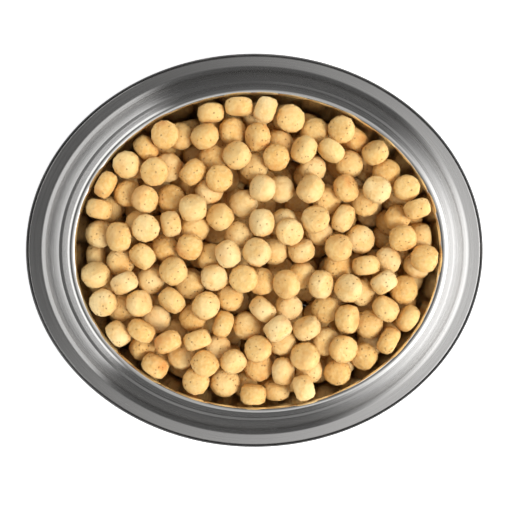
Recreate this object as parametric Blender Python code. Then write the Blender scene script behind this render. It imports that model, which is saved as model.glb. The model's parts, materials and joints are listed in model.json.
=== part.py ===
"""Low oval steel pet bowl on a rubber ring, heaped with small round kibble. Metres, +Z up.

The origin is on the surface that the bowl stands on, under the middle of the bowl. The long side of
the oval lies along X. Every turned piece is revolved as a circle of the long radius and then narrowed
along Y, so that all its rings keep one ratio.
"""

import math
import random

import bmesh
import bpy
from mathutils import Matrix, Vector

# Oval
HALF_LENGTH = 0.0825        # outer edge of the rubber ring, along X
OVAL = 0.8606               # width over length
SEGMENTS = 48               # round each turned piece

# Sheet steel and the play between pieces that touch
SHEET = 0.0007
GAP = 0.0003

# Rubber ring round the foot
RING_BOTTOM_CHAMFER = 0.0006
RING_WIDTH = 0.0055
RING_LIP = 0.0006
RING_LIP_TOP = 0.0054
RING_LIP_CHAMFER = 0.0002
RING_SEAT_OUTER = 0.0036    # height of the seat under the flange, at its outer edge
RING_SEAT_INNER = 0.0042

# Outer shell: a flange, a sloping skirt with one step in it, and an upright neck under the rim
FLANGE_EDGE = (0.0813, 0.0042)
FLANGE_OUTER = (0.0807, 0.0050)
FLANGE_INNER = (0.0766, 0.0056)
SKIRT_FOOT = (0.0748, 0.0075)
FOOT_FILLET = 0.0018
SKIRT_STEP_LOW = (0.0696, 0.0262)
SKIRT_STEP_HIGH = (0.0683, 0.0266)
STEP_FILLET = 0.0003
SKIRT_TOP = (0.0648, 0.0430)
NECK_LOW = (0.0641, 0.0438)
NECK_TOP = (0.0640, 0.0458)

# Inner basin, which hangs from its rolled rim
BASIN_FLOOR = 0.0085
BASIN_FLOOR_RADIUS = 0.0360
BASIN_HEEL_RADIUS = 0.0140
WALL_LOW = (0.0560, 0.0210)
WALL_HIGH = (0.0628, 0.0464)
RIM_CENTRE = (0.0640, 0.0464)
HEM_END = (0.0652, 0.0442)

# Heap of kibble
HEAP_CROWN = 0.0505         # top of the heap over the middle of the bowl
HEAP_FALL = 0.0055          # how much lower the heap is at the wall
TOP_LAYER = 0.0080          # depth of the loose top layer over the bed
BED_FLOOR_RADIUS = 0.0300
BED_RINGS = 6

KIBBLE_COUNT = 52
KIBBLE_RADIUS = 0.0050
KIBBLE_THICKNESS = 0.0072
KIBBLE_SQUARENESS = 0.72    # 1 is an ellipsoid, less is squarer in section
KIBBLE_SEGMENTS = 12
KIBBLE_BANDS = 5
KIBBLE_SPREAD = 0.0553      # outermost kibble centre, along X
KIBBLE_MAX_TILT = math.radians(32)
GOLDEN_ANGLE = math.pi * (3 - math.sqrt(5))
SEED = 41

# Colour, roughness and metallic value of each piece
STEEL = ((0.62, 0.61, 0.60, 1.0), 0.30, 1.0)
POLISHED_STEEL = ((0.70, 0.69, 0.67, 1.0), 0.16, 1.0)
RUBBER = ((0.03, 0.03, 0.032, 1.0), 0.60, 0.0)
BED = ((0.42, 0.23, 0.09, 1.0), 0.85, 0.0)
KIBBLE = ((0.78, 0.50, 0.21, 1.0), 0.75, 0.0)


def clear_scene():
    for found in list(bpy.data.objects):
        bpy.data.objects.remove(found, do_unlink=True)


def arc(centre, radius, start, end, steps):
    """Points of an arc from one angle to the other, both in degrees, ends included."""
    angles = [math.radians(start + (end - start) * i / steps) for i in range(steps + 1)]
    return [(centre[0] + radius * math.cos(a), centre[1] + radius * math.sin(a)) for a in angles]


def rounded(points, radii, steps=2):
    """The line through points with its inner corners turned into arcs; a radius of 0 keeps a corner."""
    line = [Vector(points[0])]
    for before, corner, after, radius in zip(points, points[1:], points[2:], radii):
        before, corner, after = Vector(before), Vector(corner), Vector(after)
        to_before, to_after = (before - corner).normalized(), (after - corner).normalized()
        half = to_before.angle(to_after) / 2
        if radius == 0:
            line.append(corner)
            continue
        centre = corner + (to_before + to_after).normalized() * radius / math.sin(half)
        start = corner + to_before * radius / math.tan(half) - centre
        end = corner + to_after * radius / math.tan(half) - centre
        turn = start.angle_signed(end)
        for i in range(steps + 1):
            spoke = start.copy()
            spoke.rotate(Matrix.Rotation(-turn * i / steps, 2))
            line.append(centre + spoke)
    line.append(Vector(points[-1]))
    return [tuple(p) for p in line]


def beside(line, distance):
    """The line moved sideways by distance, to the left of its direction where that is positive."""
    points = [Vector(p) for p in line]
    moved = []
    for i, point in enumerate(points):
        into = (point - points[i - 1]).normalized() if i else None
        out = (points[i + 1] - point).normalized() if i + 1 < len(points) else None
        into, out = into or out, out or into
        left_in, left_out = Vector((-into.y, into.x)), Vector((-out.y, out.x))
        mitre = (left_in + left_out).normalized()
        moved.append(point + mitre * distance / max(0.5, mitre.dot(left_in)))
    return [tuple(p) for p in moved]


def sheet_section(line):
    """A closed section of sheet thickness round a line."""
    return beside(line, SHEET / 2) + beside(line, -SHEET / 2)[::-1]


def turned(name, section, closed, look):
    """A section of (radius, height) points revolved and narrowed into the oval.

    A section that isn't closed begins and ends on the axis.
    """
    mesh = bmesh.new()
    verts = [mesh.verts.new((radius, 0.0, height)) for radius, height in section]
    pairs = list(zip(verts, verts[1:])) + ([(verts[-1], verts[0])] if closed else [])
    edges = [mesh.edges.new(pair) for pair in pairs]
    bmesh.ops.spin(
        mesh, geom=verts + edges, cent=(0, 0, 0), axis=(0, 0, 1), dvec=(0, 0, 0),
        angle=math.tau, steps=SEGMENTS, use_merge=True, use_duplicate=False,
    )
    bmesh.ops.remove_doubles(mesh, verts=mesh.verts, dist=1e-6)
    bmesh.ops.scale(mesh, vec=(1, OVAL, 1), verts=mesh.verts)
    return finished(name, mesh, look)


def finished(name, mesh, look):
    """Makes the bmesh an object with its faces outwards, smooth shading and a material of its own."""
    bmesh.ops.recalc_face_normals(mesh, faces=mesh.faces)
    data = bpy.data.meshes.new(name)
    mesh.to_mesh(data)
    mesh.free()
    data.shade_smooth()
    data.set_sharp_from_angle(angle=math.radians(40))
    data.materials.append(material(name, *look))
    piece = bpy.data.objects.new(name, data)
    bpy.context.scene.collection.objects.link(piece)
    return piece


def material(name, colour, roughness, metallic):
    made = bpy.data.materials.new(name)
    made.use_nodes = True
    shader = made.node_tree.nodes["Principled BSDF"]
    shader.inputs["Base Color"].default_value = colour
    shader.inputs["Roughness"].default_value = roughness
    shader.inputs["Metallic"].default_value = metallic
    return made


def base_ring():
    """The rubber ring: a flat foot, a seat under the flange, and a lip that hides the flange's edge."""
    inner, chamfer = HALF_LENGTH - RING_WIDTH, RING_BOTTOM_CHAMFER
    lip_inner = HALF_LENGTH - RING_LIP
    section = [
        (inner, chamfer),
        (inner + chamfer, 0.0),
        (HALF_LENGTH - chamfer, 0.0),
        (HALF_LENGTH, chamfer),
        (HALF_LENGTH, RING_LIP_TOP - RING_LIP_CHAMFER),
        (HALF_LENGTH - RING_LIP_CHAMFER, RING_LIP_TOP),
        (lip_inner + RING_LIP_CHAMFER, RING_LIP_TOP),
        (lip_inner, RING_LIP_TOP - RING_LIP_CHAMFER),
        (lip_inner, RING_SEAT_OUTER),
        (inner, RING_SEAT_INNER),
    ]
    turned("base_ring", section, True, RUBBER)


def outer_shell():
    """The skirt, from the flange that stands on the ring up to the neck inside the rolled rim."""
    line = rounded(
        [FLANGE_EDGE, FLANGE_OUTER, FLANGE_INNER, SKIRT_FOOT,
         SKIRT_STEP_LOW, SKIRT_STEP_HIGH, SKIRT_TOP, NECK_LOW, NECK_TOP],
        [0, FOOT_FILLET, FOOT_FILLET, STEP_FILLET, STEP_FILLET, 0, 0],
    )
    turned("outer_shell", sheet_section(line), True, STEEL)


def basin_line():
    """The middle of the basin's sheet, from the axis out, up the wall and over the rolled rim."""
    heel = rounded(
        [(0.0, BASIN_FLOOR), (BASIN_FLOOR_RADIUS + BASIN_HEEL_RADIUS, BASIN_FLOOR), WALL_LOW, WALL_HIGH],
        [BASIN_HEEL_RADIUS / 2, BASIN_HEEL_RADIUS],
        steps=3,
    )
    roll = RIM_CENTRE[0] - WALL_HIGH[0]
    return heel[:-1] + arc(RIM_CENTRE, roll, 180, 0, 6) + [HEM_END]


def inner_basin():
    """The food basin, with the rolled rim that carries it on the shell."""
    line = basin_line()
    inside, outside = beside(line, SHEET / 2), beside(line, -SHEET / 2)
    section = [(0.0, inside[0][1])] + inside[1:] + outside[:0:-1] + [(0.0, outside[0][1])]
    turned("inner_basin", section, False, POLISHED_STEEL)


def bed_height(x, y):
    """Top of the bed over a point: a shallow dome that falls to the wall."""
    share = math.hypot(x, y / OVAL) / WALL_HIGH[0]
    return HEAP_CROWN - TOP_LAYER - HEAP_FALL * share * share


def kibble_bed():
    """The lower kibble as one solid that fills the basin up to the loose top layer."""
    inside = beside(basin_line(), SHEET / 2 + GAP)
    edge_height = bed_height(WALL_HIGH[0], 0)
    side = [p for p in inside if p[0] >= BED_FLOOR_RADIUS and p[1] < edge_height]
    low = side[-1]
    slope = (WALL_HIGH[0] - WALL_LOW[0]) / (WALL_HIGH[1] - WALL_LOW[1])
    edge = low[0] + (edge_height - low[1]) * slope
    radii = [edge * (1 - i / BED_RINGS) for i in range(1, BED_RINGS + 1)]
    dome = [(radius, bed_height(radius, 0)) for radius in radii]
    section = [(0.0, inside[0][1])] + side + [(edge, edge_height)] + dome
    turned("kibble_bed", section, False, BED)


def kibble_mesh(radius, thickness, stretch):
    """One kibble: a round pillow with two domed faces and a full, rounded side."""
    mesh = bmesh.new()
    section = []
    for i in range(KIBBLE_BANDS + 1):
        angle = math.pi * i / KIBBLE_BANDS
        across, along = math.sin(angle), math.cos(angle)
        section.append((
            radius * max(0.0, across) ** KIBBLE_SQUARENESS,
            thickness / 2 * math.copysign(abs(along) ** KIBBLE_SQUARENESS, along),
        ))
    section[0], section[-1] = (0.0, thickness / 2), (0.0, -thickness / 2)
    verts = [mesh.verts.new((across, 0.0, along)) for across, along in section]
    edges = [mesh.edges.new(pair) for pair in zip(verts, verts[1:])]
    bmesh.ops.spin(
        mesh, geom=verts + edges, cent=(0, 0, 0), axis=(0, 0, 1), dvec=(0, 0, 0),
        angle=math.tau, steps=KIBBLE_SEGMENTS, use_merge=True, use_duplicate=False,
    )
    bmesh.ops.remove_doubles(mesh, verts=mesh.verts, dist=1e-6)
    bmesh.ops.scale(mesh, vec=(stretch, 1, 1), verts=mesh.verts)
    return mesh


def kibbles():
    """The loose top layer: kibbles on a golden-angle spiral, each tilted and laid down on the bed."""
    draw = random.Random(SEED)
    for i in range(KIBBLE_COUNT):
        mesh = kibble_mesh(
            KIBBLE_RADIUS * draw.uniform(0.95, 1.04),
            KIBBLE_THICKNESS * draw.uniform(0.93, 1.05),
            draw.uniform(0.96, 1.03),
        )
        tilt = KIBBLE_MAX_TILT * math.sqrt(draw.random())
        lean, spin = draw.uniform(0, math.tau), draw.uniform(0, math.tau)
        turn = Matrix.Rotation(tilt, 4, (math.cos(lean), math.sin(lean), 0)) @ Matrix.Rotation(spin, 4, "Z")
        reach = KIBBLE_SPREAD * math.sqrt((i + 0.5) / KIBBLE_COUNT)
        x, y = reach * math.cos(i * GOLDEN_ANGLE), reach * math.sin(i * GOLDEN_ANGLE) * OVAL
        bmesh.ops.transform(mesh, matrix=Matrix.Translation((x, y, 0)) @ turn, verts=mesh.verts)
        lift = max(bed_height(v.co.x, v.co.y) - v.co.z for v in mesh.verts) + GAP
        bmesh.ops.translate(mesh, vec=(-x, -y, 0), verts=mesh.verts)
        piece = finished(f"kibble_{i + 1:02d}", mesh, KIBBLE)
        piece.location = (x, y, lift)


clear_scene()
base_ring()
outer_shell()
inner_basin()
kibble_bed()
kibbles()
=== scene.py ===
"""Looks of a low oval steel pet bowl heaped with round kibble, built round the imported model.

The steel pieces and the rubber ring are turned from one section each and narrowed into the oval. The
kibble of the top layer keeps its packed places, and the rest is poured into the basin round it by rigid
bodies. Lengths are metres, +Z is up, and the bowl stands on z = 0.
"""

import json
import logging
import math
import random
from dataclasses import dataclass, field
from enum import Enum

import bmesh
import bpy
from mathutils import Matrix, Vector, noise

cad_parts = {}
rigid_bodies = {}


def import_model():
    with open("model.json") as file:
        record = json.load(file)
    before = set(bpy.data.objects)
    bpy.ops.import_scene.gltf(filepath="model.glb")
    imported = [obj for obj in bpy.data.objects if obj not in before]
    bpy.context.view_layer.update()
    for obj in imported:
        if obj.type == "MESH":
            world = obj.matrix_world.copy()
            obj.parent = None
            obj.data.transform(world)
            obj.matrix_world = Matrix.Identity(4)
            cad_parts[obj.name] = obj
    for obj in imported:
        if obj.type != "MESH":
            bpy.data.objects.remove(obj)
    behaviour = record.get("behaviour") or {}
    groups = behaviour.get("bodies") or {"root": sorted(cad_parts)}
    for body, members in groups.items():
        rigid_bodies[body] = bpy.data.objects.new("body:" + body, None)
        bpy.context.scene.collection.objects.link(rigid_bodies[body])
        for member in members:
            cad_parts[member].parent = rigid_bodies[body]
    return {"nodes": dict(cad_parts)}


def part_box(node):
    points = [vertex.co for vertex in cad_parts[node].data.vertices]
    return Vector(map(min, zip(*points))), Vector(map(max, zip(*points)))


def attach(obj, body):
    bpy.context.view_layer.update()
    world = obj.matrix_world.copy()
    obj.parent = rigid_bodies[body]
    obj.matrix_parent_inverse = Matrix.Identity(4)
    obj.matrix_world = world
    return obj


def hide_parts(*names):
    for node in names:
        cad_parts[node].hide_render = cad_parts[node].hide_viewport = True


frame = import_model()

log = logging.getLogger("bowl")

Point = tuple[float, float]
Colour = tuple[float, float, float, float]

SEAM_ANGLE = math.radians(38)
WELD = 1e-6


# ---------------------------------------------------------------------------------------------------
# Sections and turned pieces


def rounded(points: list[Point], radii: list[float], steps: int = 6) -> list[Point]:
    """Rounds the inner corners of a line.

    Args:
        points: The corners, ends included.
        radii: One radius for each inner corner; 0 keeps the corner sharp.
        steps: Stretches in each arc.

    Returns:
        The points of the line with its arcs.
    """
    line = [Vector(points[0])]
    for before, corner, after, radius in zip(points, points[1:], points[2:], radii):
        before, corner, after = Vector(before), Vector(corner), Vector(after)
        if radius == 0:
            line.append(corner)
            continue
        back, on = (before - corner).normalized(), (after - corner).normalized()
        half = back.angle(on) / 2
        centre = corner + (back + on).normalized() * radius / math.sin(half)
        start = corner + back * radius / math.tan(half) - centre
        end = corner + on * radius / math.tan(half) - centre
        turn = start.angle_signed(end)
        for i in range(steps + 1):
            spoke = start.copy()
            spoke.rotate(Matrix.Rotation(-turn * i / steps, 2))
            line.append(centre + spoke)
    line.append(Vector(points[-1]))
    return [tuple(p) for p in line]


def arc(centre: Point, radius: float, start: float, end: float, steps: int) -> list[Point]:
    """Points of an arc.

    Args:
        centre: The arc's centre.
        radius: The arc's radius.
        start: The first angle, in degrees.
        end: The last angle, in degrees.
        steps: Stretches in the arc.

    Returns:
        The points, ends included.
    """
    angles = [math.radians(start + (end - start) * i / steps) for i in range(steps + 1)]
    return [(centre[0] + radius * math.cos(a), centre[1] + radius * math.sin(a)) for a in angles]


def beside(line: list[Point], distance: float) -> list[Point]:
    """Moves a line sideways.

    Args:
        line: The line's points.
        distance: How far, to the left of the line's direction where positive.

    Returns:
        The moved points, mitred at the corners.
    """
    points = [Vector(p) for p in line]
    moved = []
    for i, point in enumerate(points):
        into = (point - points[i - 1]).normalized() if i else None
        out = (points[i + 1] - point).normalized() if i + 1 < len(points) else None
        into, out = into or out, out or into
        left = Vector((-into.y, into.x))
        mitre = (left + Vector((-out.y, out.x))).normalized()
        moved.append(point + mitre * distance / max(0.5, mitre.dot(left)))
    return [tuple(p) for p in moved]


@dataclass(frozen=True)
class Oval:
    """The bowl's outline: a circle of the long radius, narrowed along Y."""

    ratio: float
    segments: int = 192

    def turn(self, section: list[Point], closed: bool, segments: int = 0) -> bmesh.types.BMesh:
        """Revolves a section and narrows it into the oval.

        Args:
            section: Radius and height of each point.
            closed: Whether the section runs back to its first point. One that doesn't ends on the axis.
            segments: Steps round the oval, or 0 for the oval's own.

        Returns:
            The mesh, merged, with its faces outwards.
        """
        mesh = bmesh.new()
        verts = [mesh.verts.new((radius, 0.0, height)) for radius, height in section]
        pairs = list(zip(verts, verts[1:])) + ([(verts[-1], verts[0])] if closed else [])
        edges = [mesh.edges.new(pair) for pair in pairs]
        bmesh.ops.spin(
            mesh, geom=verts + edges, cent=(0, 0, 0), axis=(0, 0, 1), dvec=(0, 0, 0),
            angle=math.tau, steps=segments or self.segments, use_merge=True, use_duplicate=False,
        )
        bmesh.ops.remove_doubles(mesh, verts=mesh.verts, dist=WELD)
        bmesh.ops.scale(mesh, vec=(1, self.ratio, 1), verts=mesh.verts)
        bmesh.ops.recalc_face_normals(mesh, faces=mesh.faces)
        return mesh


def make_piece(name: str, mesh: bmesh.types.BMesh, finish: bpy.types.Material,
               replaced: list[str], creased: bool = True) -> bpy.types.Object:
    """Makes a bmesh a shown piece of the bowl.

    Args:
        name: The piece's name.
        mesh: Its shape, which is freed.
        finish: Its material.
        replaced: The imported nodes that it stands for.
        creased: Whether steep edges are shaded as edges, as on sheet and moulded parts.

    Returns:
        The new object, which rides on the one body.
    """
    data = bpy.data.meshes.new(name)
    mesh.to_mesh(data)
    mesh.free()
    data.shade_smooth()
    if creased:
        data.set_sharp_from_angle(angle=SEAM_ANGLE)
    data.materials.append(finish)
    piece = bpy.data.objects.new(name, data)
    bpy.context.scene.collection.objects.link(piece)
    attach(piece, "root")
    if replaced:
        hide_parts(*replaced)
    log.info("%s: %d faces", name, len(data.polygons))
    return piece


# ---------------------------------------------------------------------------------------------------
# Shader building


class Bench:
    """Places and joins the nodes of one shader tree."""

    def __init__(self, tree: bpy.types.NodeTree) -> None:
        """Keeps the tree to work on."""
        self.tree = tree

    def add(self, kind: str, inputs: dict | None = None, **settings: object) -> bpy.types.Node:
        """Adds a node.

        Args:
            kind: The node's type.
            inputs: Values or sockets for its inputs, by name or number.
            settings: The node's own settings.

        Returns:
            The node.
        """
        node = self.tree.nodes.new(kind)
        for name, value in settings.items():
            setattr(node, name, value)
        for name, value in (inputs or {}).items():
            self.feed(node.inputs[name], value)
        return node

    def feed(self, socket: bpy.types.NodeSocket, value: object) -> None:
        """Links a socket to another, or sets its value."""
        if isinstance(value, bpy.types.NodeSocket):
            self.tree.links.new(value, socket)
        else:
            socket.default_value = value

    def maths(self, operation: str, *values: object) -> bpy.types.NodeSocket:
        """The result of a Math node on values or sockets."""
        return self.add("ShaderNodeMath", dict(enumerate(values)), operation=operation).outputs[0]

    def spread(self, value: object, low: float, high: float, to_low: float, to_high: float,
               smooth: bool = False) -> bpy.types.NodeSocket:
        """Maps a value from one range to another.

        Args:
            value: The value or socket to map.
            low: Start of its range.
            high: End of its range.
            to_low: Result at the start.
            to_high: Result at the end.
            smooth: Whether the change eases in and out.

        Returns:
            The mapped value, held inside the new range.
        """
        ranges = {"Value": value, "From Min": low, "From Max": high, "To Min": to_low, "To Max": to_high}
        kind = "SMOOTHSTEP" if smooth else "LINEAR"
        return self.add("ShaderNodeMapRange", ranges, interpolation_type=kind).outputs["Result"]

    def blend(self, share: object, first: object, second: object, way: str = "MIX") -> bpy.types.NodeSocket:
        """Mixes two colours by a share."""
        node = self.add("ShaderNodeMix", data_type="RGBA", blend_type=way)
        for number, value in ((0, share), (6, first), (7, second)):
            self.feed(node.inputs[number], value)
        return node.outputs[2]

    def place(self) -> bpy.types.NodeSocket:
        """The piece's own object coordinates."""
        return self.add("ShaderNodeTexCoord").outputs["Object"]


def new_group(name: str, inputs: dict[str, float], outputs: list[str]) -> tuple[bpy.types.NodeTree, Bench]:
    """Starts a shader node group.

    Args:
        name: The group's name.
        inputs: Number inputs with their defaults.
        outputs: Number outputs.

    Returns:
        The group's tree and a bench on it.
    """
    tree = bpy.data.node_groups.new(name, "ShaderNodeTree")
    for label, value in inputs.items():
        tree.interface.new_socket(label, in_out="INPUT", socket_type="NodeSocketFloat").default_value = value
    for label in outputs:
        tree.interface.new_socket(label, in_out="OUTPUT", socket_type="NodeSocketFloat")
    return tree, Bench(tree)


@dataclass(frozen=True)
class SharedEffects:
    """The node groups that several finishes use."""

    grain: bpy.types.NodeTree
    cloud: bpy.types.NodeTree
    speck: bpy.types.NodeTree

    @classmethod
    def build(cls) -> "SharedEffects":
        """Builds each group once."""
        return cls(grain=cls.round_grain(), cloud=cls.soft_cloud(), speck=cls.small_speck())

    @staticmethod
    def round_grain() -> bpy.types.NodeTree:
        """Fine lines that run round the oval, as a turning brush leaves them."""
        tree, bench = new_group("round_grain", {"Ratio": 1.0, "Lines": 2500.0, "Run": 2.5}, ["Line"])
        given, result = bench.add("NodeGroupInput"), bench.add("NodeGroupOutput")
        across = bench.add("ShaderNodeSeparateXYZ", {"Vector": bench.place()})
        x, y, z = across.outputs
        y = bench.maths("DIVIDE", y, given.outputs["Ratio"])
        radius = bench.maths("SQRT", bench.maths("ADD", bench.maths("POWER", x, 2), bench.maths("POWER", y, 2)))
        radius = bench.maths("MAXIMUM", radius, WELD)
        run = given.outputs["Run"]
        ahead = bench.maths("MULTIPLY", bench.maths("DIVIDE", x, radius), run)
        aside = bench.maths("MULTIPLY", bench.maths("DIVIDE", y, radius), run)
        height = bench.maths("MULTIPLY", z, given.outputs["Lines"])
        where = bench.add("ShaderNodeCombineXYZ", {"X": ahead, "Y": aside, "Z": height})
        depth = bench.maths("MULTIPLY", radius, given.outputs["Lines"])
        grain = bench.add(
            "ShaderNodeTexNoise",
            {"Vector": where.outputs[0], "W": depth, "Scale": 1.0, "Detail": 3.0, "Roughness": 0.6},
            noise_dimensions="4D",
        )
        bench.feed(result.inputs["Line"], grain.outputs[0])
        return tree

    @staticmethod
    def soft_cloud() -> bpy.types.NodeTree:
        """Soft patches, with a field of their own for each value of Field."""
        tree, bench = new_group("soft_cloud", {"Scale": 100.0, "Field": 0.0, "Low": 0.35, "High": 0.65}, ["Mask"])
        given, result = bench.add("NodeGroupInput"), bench.add("NodeGroupOutput")
        cloud = bench.add(
            "ShaderNodeTexNoise",
            {"Vector": bench.place(), "W": given.outputs["Field"], "Scale": given.outputs["Scale"], "Detail": 2.5},
            noise_dimensions="4D",
        )
        mask = bench.add("ShaderNodeMapRange", {
            "Value": cloud.outputs[0], "From Min": given.outputs["Low"], "From Max": given.outputs["High"],
        }, interpolation_type="SMOOTHSTEP")
        bench.feed(result.inputs["Mask"], mask.outputs["Result"])
        return tree

    @staticmethod
    def small_speck() -> bpy.types.NodeTree:
        """Small round specks, thinned out by a broken mask."""
        tree, bench = new_group("small_speck", {"Scale": 900.0, "Field": 0.0, "Size": 0.22, "Share": 0.5}, ["Mask"])
        given, result = bench.add("NodeGroupInput"), bench.add("NodeGroupOutput")
        dots = bench.add(
            "ShaderNodeTexVoronoi",
            {"Vector": bench.place(), "W": given.outputs["Field"], "Scale": given.outputs["Scale"]},
            voronoi_dimensions="4D",
        )
        inside = bench.maths("SUBTRACT", given.outputs["Size"], dots.outputs["Distance"])
        dot = bench.spread(inside, 0.0, 0.12, 0.0, 1.0, smooth=True)
        shade = bench.add("ShaderNodeSeparateColor", {"Color": dots.outputs["Color"]})
        kept = bench.maths("LESS_THAN", shade.outputs[0], given.outputs["Share"])
        bench.feed(result.inputs["Mask"], bench.maths("MULTIPLY", dot, kept))
        return tree


def new_material(name: str) -> tuple[bpy.types.Material, Bench, bpy.types.Node]:
    """Starts a material.

    Args:
        name: The material's name.

    Returns:
        The material, a bench on its tree, and its Principled BSDF.
    """
    made = bpy.data.materials.new(name)
    made.use_nodes = True
    return made, Bench(made.node_tree), made.node_tree.nodes["Principled BSDF"]


@dataclass(frozen=True)
class BrushedSteel:
    """Sheet steel brushed round the oval."""

    name: str
    light: Colour
    dark: Colour
    roughness: Point
    anisotropy: float
    lines: float = 2600.0
    line_depth: float = 0.00002

    def make(self, effects: SharedEffects, ratio: float) -> bpy.types.Material:
        """Builds the material.

        Args:
            effects: The shared node groups.
            ratio: Width over length of the oval, which the grain follows.

        Returns:
            The material.
        """
        made, bench, shader = new_material(self.name)
        fine = bench.add("ShaderNodeGroup", node_tree=effects.grain)
        broad = bench.add("ShaderNodeGroup", node_tree=effects.grain)
        for node, lines, run in ((fine, self.lines, 2.2), (broad, self.lines / 6, 0.9)):
            for label, value in (("Ratio", ratio), ("Lines", lines), ("Run", run)):
                node.inputs[label].default_value = value
        smudge = bench.add("ShaderNodeGroup", {"Scale": 60.0, "Low": 0.3, "High": 0.75}, node_tree=effects.cloud)
        share = bench.maths("MULTIPLY", bench.maths("ADD", fine.outputs[0], broad.outputs[0]), 0.5)
        tint = bench.blend(bench.spread(share, 0.35, 0.65, 0.0, 1.0), self.dark, self.light)
        bench.feed(shader.inputs["Base Color"], tint)
        shader.inputs["Metallic"].default_value = 1.0
        worn = bench.maths("ADD", share, bench.maths("MULTIPLY", smudge.outputs[0], 0.15))
        rough = bench.spread(worn, 0.35, 0.75, *self.roughness)
        bench.feed(shader.inputs["Roughness"], rough)
        shader.inputs["Anisotropic"].default_value = self.anisotropy
        shader.inputs["Anisotropic Rotation"].default_value = 0.25
        tangent = bench.add("ShaderNodeTangent", direction_type="RADIAL", axis="Z")
        bench.feed(shader.inputs["Tangent"], tangent.outputs[0])
        bump = bench.add(
            "ShaderNodeBump", {"Height": fine.outputs[0], "Strength": 0.25, "Distance": self.line_depth}
        )
        bench.feed(shader.inputs["Normal"], bump.outputs[0])
        return made


@dataclass(frozen=True)
class RingRubber:
    """Matte moulded rubber with a fine pebbled skin."""

    name: str = "ring_rubber"
    fresh: Colour = (0.115, 0.115, 0.118, 1.0)
    dusty: Colour = (0.165, 0.163, 0.159, 1.0)

    def make(self, effects: SharedEffects) -> bpy.types.Material:
        """Builds the material.

        Args:
            effects: The shared node groups.

        Returns:
            The material.
        """
        made, bench, shader = new_material(self.name)
        dust = bench.add("ShaderNodeGroup", {"Scale": 140.0, "Low": 0.4, "High": 0.8}, node_tree=effects.cloud)
        skin = bench.add("ShaderNodeTexNoise", {"Vector": bench.place(), "Scale": 2400.0, "Detail": 2.0})
        bench.feed(shader.inputs["Base Color"], bench.blend(dust.outputs[0], self.fresh, self.dusty))
        bench.feed(shader.inputs["Roughness"], bench.spread(skin.outputs[0], 0.3, 0.7, 0.45, 0.68))
        bump = bench.add("ShaderNodeBump", {"Height": skin.outputs[0], "Strength": 0.35, "Distance": 0.0001})
        bench.feed(shader.inputs["Normal"], bump.outputs[0])
        return made


@dataclass(frozen=True)
class KibbleCrust:
    """Baked crust: a tone for each kibble, mottled, speckled and toasted in patches."""

    name: str = "kibble_crust"
    pale: Colour = (0.900, 0.680, 0.340, 1.0)
    golden: Colour = (0.860, 0.580, 0.225, 1.0)
    deep: Colour = (0.790, 0.460, 0.140, 1.0)
    toasted: Colour = (0.660, 0.270, 0.065, 1.0)
    fleck: Colour = (0.360, 0.160, 0.045, 1.0)
    roughness: Point = (0.58, 0.85)

    def make(self, effects: SharedEffects) -> bpy.types.Material:
        """Builds the material.

        Args:
            effects: The shared node groups.

        Returns:
            The material.
        """
        made, bench, shader = new_material(self.name)
        tone = bench.add("ShaderNodeAttribute", attribute_name=Kibble.TONE).outputs["Fac"]
        own_field = bench.maths("MULTIPLY", tone, 60.0)
        ramp = bench.add("ShaderNodeValToRGB", {"Fac": tone})
        stops = ramp.color_ramp.elements
        stops[0].position, stops[0].color = 0.0, self.pale
        stops[1].position, stops[1].color = 1.0, self.deep
        stops.new(0.45).color = self.golden
        mottle = self.cloud(bench, effects, 170.0, own_field, 0.36, 0.66)
        fine = self.cloud(bench, effects, 900.0, own_field, 0.35, 0.70)
        toast = self.cloud(bench, effects, 120.0, bench.maths("ADD", own_field, 7.0), 0.54, 0.74)
        crust = bench.blend(bench.maths("MULTIPLY", mottle, 0.80), ramp.outputs[0], self.deep)
        crust = bench.blend(bench.maths("MULTIPLY", fine, 0.45), crust, self.pale)
        browned = bench.spread(tone, 0.50, 1.0, 0.35, 1.0)
        crust = bench.blend(bench.maths("MULTIPLY", toast, browned), crust, self.toasted)
        flecks = bench.add(
            "ShaderNodeGroup", {"Scale": 900.0, "Field": own_field, "Size": 0.32, "Share": 0.50},
            node_tree=effects.speck,
        )
        crust = bench.blend(bench.maths("MULTIPLY", flecks.outputs[0], 0.60), crust, self.fleck)
        bench.feed(shader.inputs["Base Color"], crust)
        bench.feed(shader.inputs["Roughness"], bench.spread(fine, 0.0, 1.0, *self.roughness))
        shader.inputs["Specular IOR Level"].default_value = 0.35
        bench.feed(shader.inputs["Normal"], self.relief(bench, own_field, flecks.outputs[0]))
        return made

    @staticmethod
    def cloud(bench: Bench, effects: SharedEffects, scale: float, own_field: bpy.types.NodeSocket,
              low: float, high: float) -> bpy.types.NodeSocket:
        """A soft mask at one scale, with its own field for each kibble."""
        inputs = {"Scale": scale, "Field": own_field, "Low": low, "High": high}
        return bench.add("ShaderNodeGroup", inputs, node_tree=effects.cloud).outputs[0]

    @staticmethod
    def relief(bench: Bench, own_field: bpy.types.NodeSocket, flecks: bpy.types.NodeSocket) -> bpy.types.NodeSocket:
        """The crust's normal: a grainy skin with shallow pits at the flecks."""
        skin = bench.add(
            "ShaderNodeTexNoise",
            {"Vector": bench.place(), "W": own_field, "Scale": 460.0, "Detail": 5.0, "Roughness": 0.66},
            noise_dimensions="4D",
        )
        height = bench.maths("SUBTRACT", skin.outputs[0], bench.maths("MULTIPLY", flecks, 0.35))
        return bench.add("ShaderNodeBump", {"Height": height, "Strength": 1.0, "Distance": 0.0010}).outputs[0]


# ---------------------------------------------------------------------------------------------------
# The bowl


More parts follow.
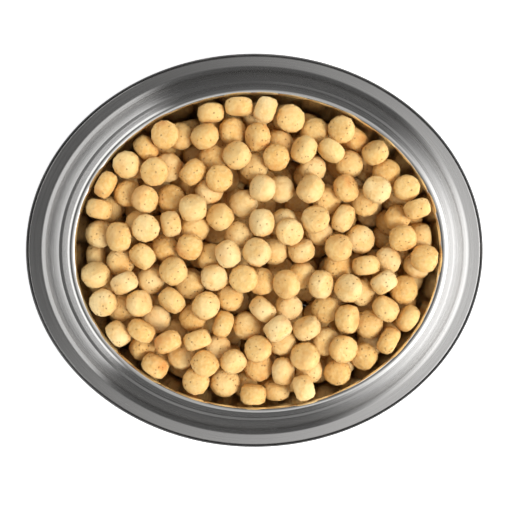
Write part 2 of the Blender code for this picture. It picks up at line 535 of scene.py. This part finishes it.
@dataclass
class FootRing:
    """The rubber ring: a flat foot, a seat under the flange, and a lip round the flange's edge."""

    outer: float
    top: float
    width: float = 0.0055
    lip: float = 0.0006
    chamfer: float = 0.0006
    lip_round: float = 0.00025
    seat_outer: float = 0.0036
    seat_inner: float = 0.0042

    def section(self) -> list[Point]:
        """The ring's closed section."""
        inner, lip_inner = self.outer - self.width, self.outer - self.lip
        foot = rounded(
            [(inner, self.seat_inner), (inner, 0.0), (self.outer, 0.0), (self.outer, self.top),
             (lip_inner, self.top), (lip_inner, self.seat_outer)],
            [self.chamfer, self.chamfer, self.lip_round, self.lip_round],
        )
        return foot

    def build(self, oval: Oval, finish: bpy.types.Material) -> bpy.types.Object:
        """Turns the ring."""
        return make_piece("foot_ring", oval.turn(self.section(), True), finish, ["base_ring"])


@dataclass
class OuterShell:
    """The skirt: a foot flange, a slope with one step, and a neck that goes up inside the rim."""

    sheet: float = 0.0007
    edge: Point = (0.0815, 0.0047)
    flange_outer: Point = (0.0811, 0.0050)
    flange_inner: Point = (0.0766, 0.0056)
    skirt_foot: Point = (0.0748, 0.0075)
    step_low: Point = (0.0694, 0.0268)
    step_high: Point = (0.0681, 0.0272)
    skirt_top: Point = (0.0653, 0.0430)
    neck_low: Point = (0.0642, 0.0437)
    neck_top: Point = (0.0640, 0.0458)
    foot_round: float = 0.0028
    step_round: float = 0.0003
    edge_round: float = 0.0004

    def line(self) -> list[Point]:
        """The middle of the sheet, from the flange's edge up to the neck."""
        corners = [
            self.edge, self.flange_outer, self.flange_inner, self.skirt_foot, self.step_low,
            self.step_high, self.skirt_top, self.neck_low, self.neck_top,
        ]
        rounds = [
            self.edge_round, self.foot_round, self.foot_round, self.step_round, self.step_round,
            self.edge_round, self.edge_round,
        ]
        return rounded(corners, rounds)

    def build(self, oval: Oval, finish: bpy.types.Material) -> bpy.types.Object:
        """Turns the shell."""
        line = self.line()
        section = beside(line, self.sheet / 2) + beside(line, -self.sheet / 2)[::-1]
        return make_piece("steel_skirt", oval.turn(section, True), finish, ["outer_shell"])


@dataclass
class InnerBasin:
    """The food basin, which hangs from its rolled rim."""

    sheet: float = 0.0007
    floor: float = 0.0085
    heel: float = 0.0500
    heel_round: float = 0.0140
    wall_low: Point = (0.0560, 0.0210)
    wall_high: Point = (0.0628, 0.0464)
    rim_centre: Point = (0.0640, 0.0464)
    hem_end: Point = (0.0652, 0.0442)
    rim_steps: int = 18

    def line(self) -> list[Point]:
        """The middle of the sheet, from the axis up the wall and over the rim."""
        side = rounded(
            [(0.0, self.floor), (self.heel, self.floor), self.wall_low, self.wall_high],
            [self.heel_round / 2, self.heel_round],
        )
        roll = self.rim_centre[0] - self.wall_high[0]
        return side[:-1] + arc(self.rim_centre, roll, 180, 0, self.rim_steps) + [self.hem_end]

    def inside(self) -> list[Point]:
        """The inner face, from the axis to the crest of the rim."""
        face = beside(self.line(), self.sheet / 2)
        crest = max(range(len(face)), key=lambda i: face[i][1])
        return [(0.0, face[0][1])] + face[1:crest + 1]

    def wall_radius(self, height: float) -> float:
        """The inner face's radius at a height, along X."""
        face = self.inside()
        for low, high in zip(face, face[1:]):
            if low[1] <= height < high[1]:
                return low[0] + (high[0] - low[0]) * (height - low[1]) / (high[1] - low[1])
        return face[-1][0]

    def build(self, oval: Oval, finish: bpy.types.Material) -> bpy.types.Object:
        """Turns the basin."""
        line = self.line()
        inside, outside = beside(line, self.sheet / 2), beside(line, -self.sheet / 2)
        section = [(0.0, inside[0][1])] + inside[1:] + outside[:0:-1] + [(0.0, outside[0][1])]
        return make_piece("steel_basin", oval.turn(section, False), finish, ["inner_basin"])


# ---------------------------------------------------------------------------------------------------
# The food


@dataclass
class Kibble:
    """One kibble: a round pillow with two domed faces and a full, rounded side."""

    TONE = "tone"

    radius: float = 0.0050
    thickness: float = 0.0068
    squareness: float = 0.62
    segments: int = 12
    bands: int = 6
    unevenness: float = 0.075

    def mesh(self, draw: random.Random) -> bmesh.types.BMesh:
        """Makes one kibble about the origin.

        Args:
            draw: The source of its own size and dents.

        Returns:
            Its mesh.
        """
        radius = self.radius * draw.uniform(0.93, 1.03)
        half = self.thickness / 2 * draw.uniform(0.90, 1.08)
        mesh = bmesh.new()
        verts = []
        for i in range(self.bands + 1):
            angle = math.pi * i / self.bands
            across = max(0.0, math.sin(angle)) ** self.squareness if 0 < i < self.bands else 0.0
            along = math.copysign(abs(math.cos(angle)) ** self.squareness, math.cos(angle))
            verts.append(mesh.verts.new((radius * across, 0.0, half * along)))
        edges = [mesh.edges.new(pair) for pair in zip(verts, verts[1:])]
        bmesh.ops.spin(
            mesh, geom=verts + edges, cent=(0, 0, 0), axis=(0, 0, 1), dvec=(0, 0, 0),
            angle=math.tau, steps=self.segments, use_merge=True, use_duplicate=False,
        )
        bmesh.ops.remove_doubles(mesh, verts=mesh.verts, dist=WELD)
        bmesh.ops.scale(mesh, vec=(draw.uniform(0.96, 1.0), 1, 1), verts=mesh.verts)
        bmesh.ops.recalc_face_normals(mesh, faces=mesh.faces)
        self.dent(mesh, Vector((draw.uniform(0, 90), draw.uniform(0, 90), draw.uniform(0, 90))))
        return mesh

    def dent(self, mesh: bmesh.types.BMesh, field_at: Vector) -> None:
        """Makes a kibble's outline slightly uneven.

        Args:
            mesh: The kibble, about the origin.
            field_at: Where in the noise this kibble lies.
        """
        for vert in mesh.verts:
            bulge = noise.noise(vert.co / self.radius * 1.2 + field_at)
            vert.co *= 1 + self.unevenness * bulge


class Tone(Enum):
    """The groups that poured kibble is joined in, and the tones that each holds."""

    PALE = ("kibble_pale", 0.00, 0.34)
    GOLDEN = ("kibble_golden", 0.34, 0.67)
    DEEP = ("kibble_deep", 0.67, 1.00)


@dataclass
class LaidKibble:
    """The kibble that keeps its packed places, one piece for each node."""

    prefix: str = "kibble_"
    seed: int = 7
    nodes: list[str] = field(default_factory=list)

    def build(self, finish: bpy.types.Material) -> list[bpy.types.Object]:
        """Makes a smooth piece from each packed kibble.

        Args:
            finish: The crust.

        Returns:
            The pieces.
        """
        draw = random.Random(self.seed)
        self.nodes = sorted(n for n in frame["nodes"] if n.startswith(self.prefix) and n[-1].isdigit())
        made = []
        for node in self.nodes:
            mesh = bmesh.new()
            mesh.from_mesh(frame["nodes"][node].data)
            bmesh.ops.remove_doubles(mesh, verts=mesh.verts, dist=WELD * 10)
            tones = mesh.verts.layers.float.new(Kibble.TONE)
            tone = draw.random()
            for vert in mesh.verts:
                vert[tones] = tone
            name = node.replace(self.prefix, "laid_kibble_")
            made.append(make_piece(name, mesh, finish, [node], creased=False))
        return made


@dataclass
class PouredKibble:
    """The rest of the food, stacked and rained into the basin and settled by rigid bodies.

    Bodies a centimetre wide are too small for the solver, so the pour runs a hundred times larger.
    """

    kibble: Kibble
    basin: InnerBasin
    oval: Oval
    bed_top: float
    bed_edge: float
    seed: int = 29
    scale: float = 100.0
    frames: int = 46
    quick_frames: int = 12
    gravity: float = 98.0
    stack_pitch: float = 0.0104
    stack_rise: float = 0.0072
    rain_pitch: float = 0.0116
    rain_rise: float = 0.0112
    rain_layers: int = 2
    rain_reach: float = 0.0562
    ring_layers: int = 5
    ring_pitch: float = 0.0108
    proud_middle: float = 0.0120
    proud_edge: float = 0.0122
    collar: float = 0.0600
    margin: float = 0.03
    parts: dict[str, bmesh.types.BMesh] = field(default_factory=dict)

    def bed_height(self, x: float, y: float) -> float:
        """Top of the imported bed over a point, which the laid kibble rests on."""
        share = math.hypot(x, y / self.oval.ratio) / self.basin.wall_high[0]
        return self.bed_top - (self.bed_top - self.bed_edge) * share * share

    def lattice(self, height: float, pitch: float, reach: float, shift: float) -> list[Vector]:
        """One hexagonal layer of places.

        Args:
            height: The layer's height.
            pitch: The distance between neighbours.
            reach: The furthest centre, along X.
            shift: How far the layer is moved along X, as a share of the pitch.

        Returns:
            The places inside the oval of that reach.
        """
        rows = int(reach / pitch) + 2
        places = []
        for row in range(-rows, rows + 1):
            for column in range(-rows, rows + 1):
                x = (column + (row % 2) / 2 + shift) * pitch
                y = row * pitch * math.sqrt(3) / 2
                if math.hypot(x, y / self.oval.ratio) < reach:
                    places.append(Vector((x, y, height)))
        return places

    def places(self, draw: random.Random) -> list[Matrix]:
        """Where each poured kibble starts: a flat stack under the laid kibble, and rain over it."""
        found = []
        height, layer = self.basin.floor + self.kibble.thickness * 0.62, 0
        while height < self.bed_top:
            reach = self.basin.wall_radius(height - self.kibble.thickness / 2) - self.kibble.radius * 1.06
            for place in self.lattice(height, self.stack_pitch, reach, 0.5 * (layer % 2)):
                if height + self.kibble.thickness * 0.25 < self.bed_height(place.x, place.y):
                    found.append(self.turned(place, draw, math.radians(9)))
            height, layer = height + self.stack_rise, layer + 1
        for layer in range(self.rain_layers):
            height = self.bed_top + self.kibble.radius * 3.4 + layer * self.rain_rise
            for place in self.lattice(height, self.rain_pitch, self.rain_reach, 0.25 + 0.5 * (layer % 2)):
                found.append(self.turned(place, draw, math.radians(80)))
        for layer in range(self.ring_layers):
            height = self.bed_top + self.kibble.radius * 3.4 + (self.rain_layers + layer) * self.rain_rise
            for place in self.round(height, self.rain_reach, self.ring_pitch, layer / 2):
                found.append(self.turned(place, draw, math.radians(80)))
        return found

    def round(self, height: float, reach: float, pitch: float, shift: float) -> list[Vector]:
        """One round of places along the wall, about a pitch apart."""
        count = int(math.tau * reach * (1 + self.oval.ratio) / 2 / pitch)
        angles = [math.tau * (i + shift) / count for i in range(count)]
        return [Vector((reach * math.cos(a), reach * self.oval.ratio * math.sin(a), height)) for a in angles]

    @staticmethod
    def turned(place: Vector, draw: random.Random, most: float) -> Matrix:
        """A place with a seeded lean of at most an angle, and any spin."""
        lean, side, spin = most * draw.random(), draw.uniform(0, math.tau), draw.uniform(0, math.tau)
        turn = Matrix.Rotation(lean, 4, (math.cos(side), math.sin(side), 0)) @ Matrix.Rotation(spin, 4, "Z")
        return Matrix.Translation(place) @ turn

    def settle(self, laid: list[bpy.types.Object]) -> list[tuple[bpy.types.Mesh, Matrix]]:
        """Runs the pour.

        Args:
            laid: The kibble that stays where it is.

        Returns:
            Each poured kibble's mesh and its place at rest.
        """
        scene = bpy.context.scene
        bpy.ops.rigidbody.world_add()
        world = scene.rigidbody_world
        world.collection = bpy.data.collections.new("pour")
        world.substeps_per_frame, world.solver_iterations = 12, 12
        scene.gravity = (0, 0, -self.gravity)
        frames = self.frames
        world.point_cache.frame_end = frames
        self.add_still("well", self.well(), "MESH")
        for piece in laid:
            self.add_still(f"still_{piece.name}", piece.data.copy(), "CONVEX_HULL")
        draw = random.Random(self.seed)
        falling = []
        for i, start in enumerate(self.places(draw)):
            data = bpy.data.meshes.new(f"poured_{i}")
            shape = self.kibble.mesh(draw)
            shape.to_mesh(data)
            shape.free()
            falling.append(self.add_body(f"poured_{i}", data, start, "CONVEX_HULL"))
        for number in range(1, frames + 1):
            scene.frame_set(number)
        back = Matrix.Scale(1 / self.scale, 4)
        rest = [(body.data, back @ body.matrix_world.copy()) for body in falling]
        for body in list(world.collection.objects):
            bpy.data.objects.remove(body, do_unlink=True)
        bpy.ops.rigidbody.world_remove()
        scene.frame_set(1)
        return rest

    def well(self) -> bpy.types.Mesh:
        """The basin's inner face with an upright collar over the rim, which the pour falls in."""
        face = [p for p in self.basin.inside() if p[1] < self.basin.wall_high[1] + self.basin.sheet]
        collar = (face[-1][0], face[-1][1] + self.collar)
        mesh = self.oval.turn([*face, collar], False, segments=48)
        bmesh.ops.reverse_faces(mesh, faces=mesh.faces)
        data = bpy.data.meshes.new("well")
        mesh.to_mesh(data)
        mesh.free()
        return data

    def add_still(self, name: str, data: bpy.types.Mesh, shape: str) -> None:
        """Adds a body that doesn't move."""
        self.add_body(name, data, Matrix.Identity(4), shape).rigid_body.type = "PASSIVE"

    def add_body(self, name: str, data: bpy.types.Mesh, start: Matrix, shape: str) -> bpy.types.Object:
        """Adds a body to the pour.

        Args:
            name: The body's name.
            data: Its mesh in metres.
            start: Its place in metres.
            shape: Its collision shape.

        Returns:
            The body, made larger by the pour's scale.
        """
        body = bpy.data.objects.new(name, data)
        bpy.context.scene.collection.objects.link(body)
        body.matrix_world = Matrix.Scale(self.scale, 4) @ start
        bpy.context.scene.rigidbody_world.collection.objects.link(body)
        rigid = body.rigid_body
        rigid.collision_shape = shape
        rigid.friction, rigid.restitution = 0.55, 0.0
        rigid.linear_damping, rigid.angular_damping = 0.12, 0.30
        rigid.use_margin, rigid.collision_margin = True, self.margin
        return body

    def build(self, laid: list[bpy.types.Object], finish: bpy.types.Material) -> list[bpy.types.Object]:
        """Settles the pour and joins it into one piece for each group of tones.

        Args:
            laid: The kibble that stays where it is.
            finish: The crust.

        Returns:
            The pieces.
        """
        draw = random.Random(self.seed + 1)
        self.parts = {tone.value[0]: bmesh.new() for tone in Tone}
        kept = 0
        for data, rest in self.settle(laid):
            tone = draw.random()
            if self.spilt(rest.translation):
                continue
            kept += 1
            group = next(t for t in Tone if t.value[1] <= tone <= t.value[2])
            self.join(self.parts[group.value[0]], data, rest, tone)
        log.info("poured kibble kept: %d", kept)
        return [
            make_piece(name, mesh, finish, ["kibble_bed"], creased=False)
            for name, mesh in self.parts.items()
        ]

    def spilt(self, place: Vector) -> bool:
        """Whether a kibble came to rest outside the heap, or stands proud of it."""
        out = math.hypot(place.x, place.y / self.oval.ratio)
        share = (out / self.basin.wall_high[0]) ** 2
        level = self.bed_height(place.x, place.y) + self.proud_middle * (1 - share) + self.proud_edge * share
        return place.z > level or out > self.basin.wall_high[0] or place.z < self.basin.floor

    @staticmethod
    def join(into: bmesh.types.BMesh, data: bpy.types.Mesh, rest: Matrix, tone: float) -> None:
        """Adds one kibble to a group.

        Args:
            into: The group's mesh.
            data: The kibble's mesh.
            rest: Its place.
            tone: Its tone, from 0, pale, to 1, deep.
        """
        tones = into.verts.layers.float.get(Kibble.TONE) or into.verts.layers.float.new(Kibble.TONE)
        before = len(into.verts)
        into.from_mesh(data)
        into.verts.ensure_lookup_table()
        added = into.verts[before:]
        for vert in added:
            vert[tones] = tone
        bmesh.ops.transform(into, matrix=rest, verts=added)


# ---------------------------------------------------------------------------------------------------
# The studio


@dataclass(frozen=True)
class Panel:
    """An upright light panel in the surroundings, seen in the steel."""

    azimuth: float
    half_width: float
    softness: float
    strength: float


@dataclass
class Studio:
    """Floor, surroundings, key light and camera."""

    panels: tuple[Panel, ...] = (
        Panel(azimuth=-12, half_width=40, softness=24, strength=1.65),
        Panel(azimuth=172, half_width=56, softness=5, strength=0.93),
    )
    gloom: float = 0.11
    overhead: float = 0.41
    overhead_slope: Point = (0.82, -0.33)
    overhead_least: float = 0.11
    panel_tilt: float = 0.32
    fill: float = 0.28
    key_azimuth: float = -27.0
    key_elevation: float = 52.0
    key_strength: float = 2.25
    key_width: float = 24.0
    camera_at: tuple[float, float, float] = (-0.0237, 0.0043, 0.9)
    camera_aim: tuple[float, float, float] = (0.0004, -0.0020, 0.0045)
    lens: float = 174.4
    floor_half: float = 3.0
    floor_colour: Colour = (0.93, 0.93, 0.93, 1.0)
    floor_glow: float = 0.70

    def build(self) -> None:
        """Builds the whole studio."""
        scene = bpy.context.scene
        scene.view_settings.view_transform = "Standard"
        self.build_floor()
        self.build_surroundings()
        self.build_key()
        self.build_camera()

    def build_floor(self) -> None:
        """A pale floor, which the steel doesn't mirror."""
        mesh = bmesh.new()
        bmesh.ops.create_grid(mesh, x_segments=1, y_segments=1, size=self.floor_half)
        data = bpy.data.meshes.new("floor")
        mesh.to_mesh(data)
        mesh.free()
        made, bench, shader = new_material("floor_paper")
        weave = bench.add("ShaderNodeTexNoise", {"Vector": bench.place(), "Scale": 400.0})
        bench.feed(shader.inputs["Roughness"], bench.spread(weave.outputs[0], 0.3, 0.7, 0.85, 0.95))
        shader.inputs["Base Color"].default_value = self.floor_colour
        shader.inputs["Emission Color"].default_value = self.floor_colour
        shader.inputs["Emission Strength"].default_value = self.floor_glow
        data.materials.append(made)
        floor = bpy.data.objects.new("floor", data)
        bpy.context.scene.collection.objects.link(floor)
        floor.visible_glossy = False

    def build_surroundings(self) -> None:
        """The light that comes from all round: upright panels, a graded ceiling, and gloom between."""
        world = bpy.data.worlds.new("studio")
        bpy.context.scene.world = world
        world.use_nodes = True
        bench = Bench(world.node_tree)
        seen = bench.add("ShaderNodeTexCoord").outputs["Generated"]
        x, y, z = bench.add("ShaderNodeSeparateXYZ", {"Vector": seen}).outputs
        azimuth = bench.maths("ARCTAN2", y, x)
        around = self.gloom
        for panel in self.panels:
            off = bench.maths("WRAP", bench.maths("SUBTRACT", azimuth, math.radians(panel.azimuth)), math.pi, -math.pi)
            off = bench.maths("ABSOLUTE", off)
            near, far = panel.half_width - panel.softness, panel.half_width + panel.softness
            lit = bench.spread(off, math.radians(near), math.radians(far), panel.strength, 0.0, smooth=True)
            around = bench.maths("ADD", around, lit)
        slope_x, slope_y = self.overhead_slope
        above = bench.maths("ADD", bench.maths("MULTIPLY", x, slope_x), bench.maths("MULTIPLY", y, slope_y))
        above = bench.maths("MAXIMUM", bench.maths("ADD", above, self.overhead), self.overhead_least)
        leftward = bench.maths("MULTIPLY", bench.maths("MINIMUM", x, 0.0), self.panel_tilt)
        high = bench.spread(bench.maths("SUBTRACT", z, leftward), 0.60, 0.86, 0.0, 1.0, smooth=True)
        light = bench.maths("ADD", bench.maths("MULTIPLY", above, high),
                            bench.maths("MULTIPLY", around, bench.maths("SUBTRACT", 1.0, high)))
        path = bench.add("ShaderNodeLightPath").outputs
        light = bench.maths("ADD", light, bench.maths("MULTIPLY", path["Is Diffuse Ray"], self.fill))
        strength = bench.maths("MAXIMUM", light, path["Is Camera Ray"])
        background = world.node_tree.nodes["Background"]
        background.inputs["Color"].default_value = (1.0, 1.0, 1.0, 1.0)
        bench.feed(background.inputs["Strength"], strength)

    def build_key(self) -> None:
        """The soft key light from the near right."""
        lamp = bpy.data.lights.new("key", "SUN")
        lamp.energy, lamp.angle = self.key_strength, math.radians(self.key_width)
        lamp.color = (1.0, 0.985, 0.96)
        key = bpy.data.objects.new("key", lamp)
        azimuth, elevation = math.radians(self.key_azimuth), math.radians(self.key_elevation)
        level = math.cos(elevation)
        towards = Vector((level * math.cos(azimuth), level * math.sin(azimuth), math.sin(elevation)))
        key.rotation_mode = "QUATERNION"
        key.rotation_quaternion = towards.to_track_quat("Z", "Y")
        key.visible_glossy = False
        bpy.context.scene.collection.objects.link(key)

    def build_camera(self) -> None:
        """The camera, high over the bowl and a little to its left."""
        data = bpy.data.cameras.new("camera")
        data.lens = self.lens
        camera = bpy.data.objects.new("camera", data)
        camera.location = self.camera_at
        camera.rotation_mode = "QUATERNION"
        towards = Vector(self.camera_aim) - Vector(self.camera_at)
        camera.rotation_quaternion = Vector((0, 0, -1)).rotation_difference(towards)
        bpy.context.scene.collection.objects.link(camera)
        bpy.context.scene.camera = camera


def main() -> None:
    """Builds the bowl, its food and the studio, in that order."""
    logging.basicConfig(level=logging.INFO, format="%(name)s: %(message)s")
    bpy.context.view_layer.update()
    Studio().build()

    low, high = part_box("base_ring")
    oval = Oval(ratio=high[1] / high[0])
    effects = SharedEffects.build()
    skirt_steel = BrushedSteel(
        "skirt_steel", (0.66, 0.65, 0.635, 1.0), (0.57, 0.56, 0.55, 1.0), (0.18, 0.29), 0.7,
    ).make(effects, oval.ratio)
    basin_steel = BrushedSteel(
        "basin_steel", (0.93, 0.92, 0.90, 1.0), (0.88, 0.87, 0.85, 1.0), (0.10, 0.20), 0.4,
    ).make(effects, oval.ratio)
    crust = KibbleCrust().make(effects)

    FootRing(outer=high[0], top=high[2]).build(oval, RingRubber().make(effects))
    OuterShell().build(oval, skirt_steel)
    basin = InnerBasin()
    basin.build(oval, basin_steel)

    laid = LaidKibble().build(crust)
    bed_low, bed_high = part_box("kibble_bed")
    poured = PouredKibble(Kibble(), basin, oval, bed_top=bed_high[2], bed_edge=bed_high[2] - 0.0055)
    poured.build(laid, crust)


if __name__ == "__main__":
    main()
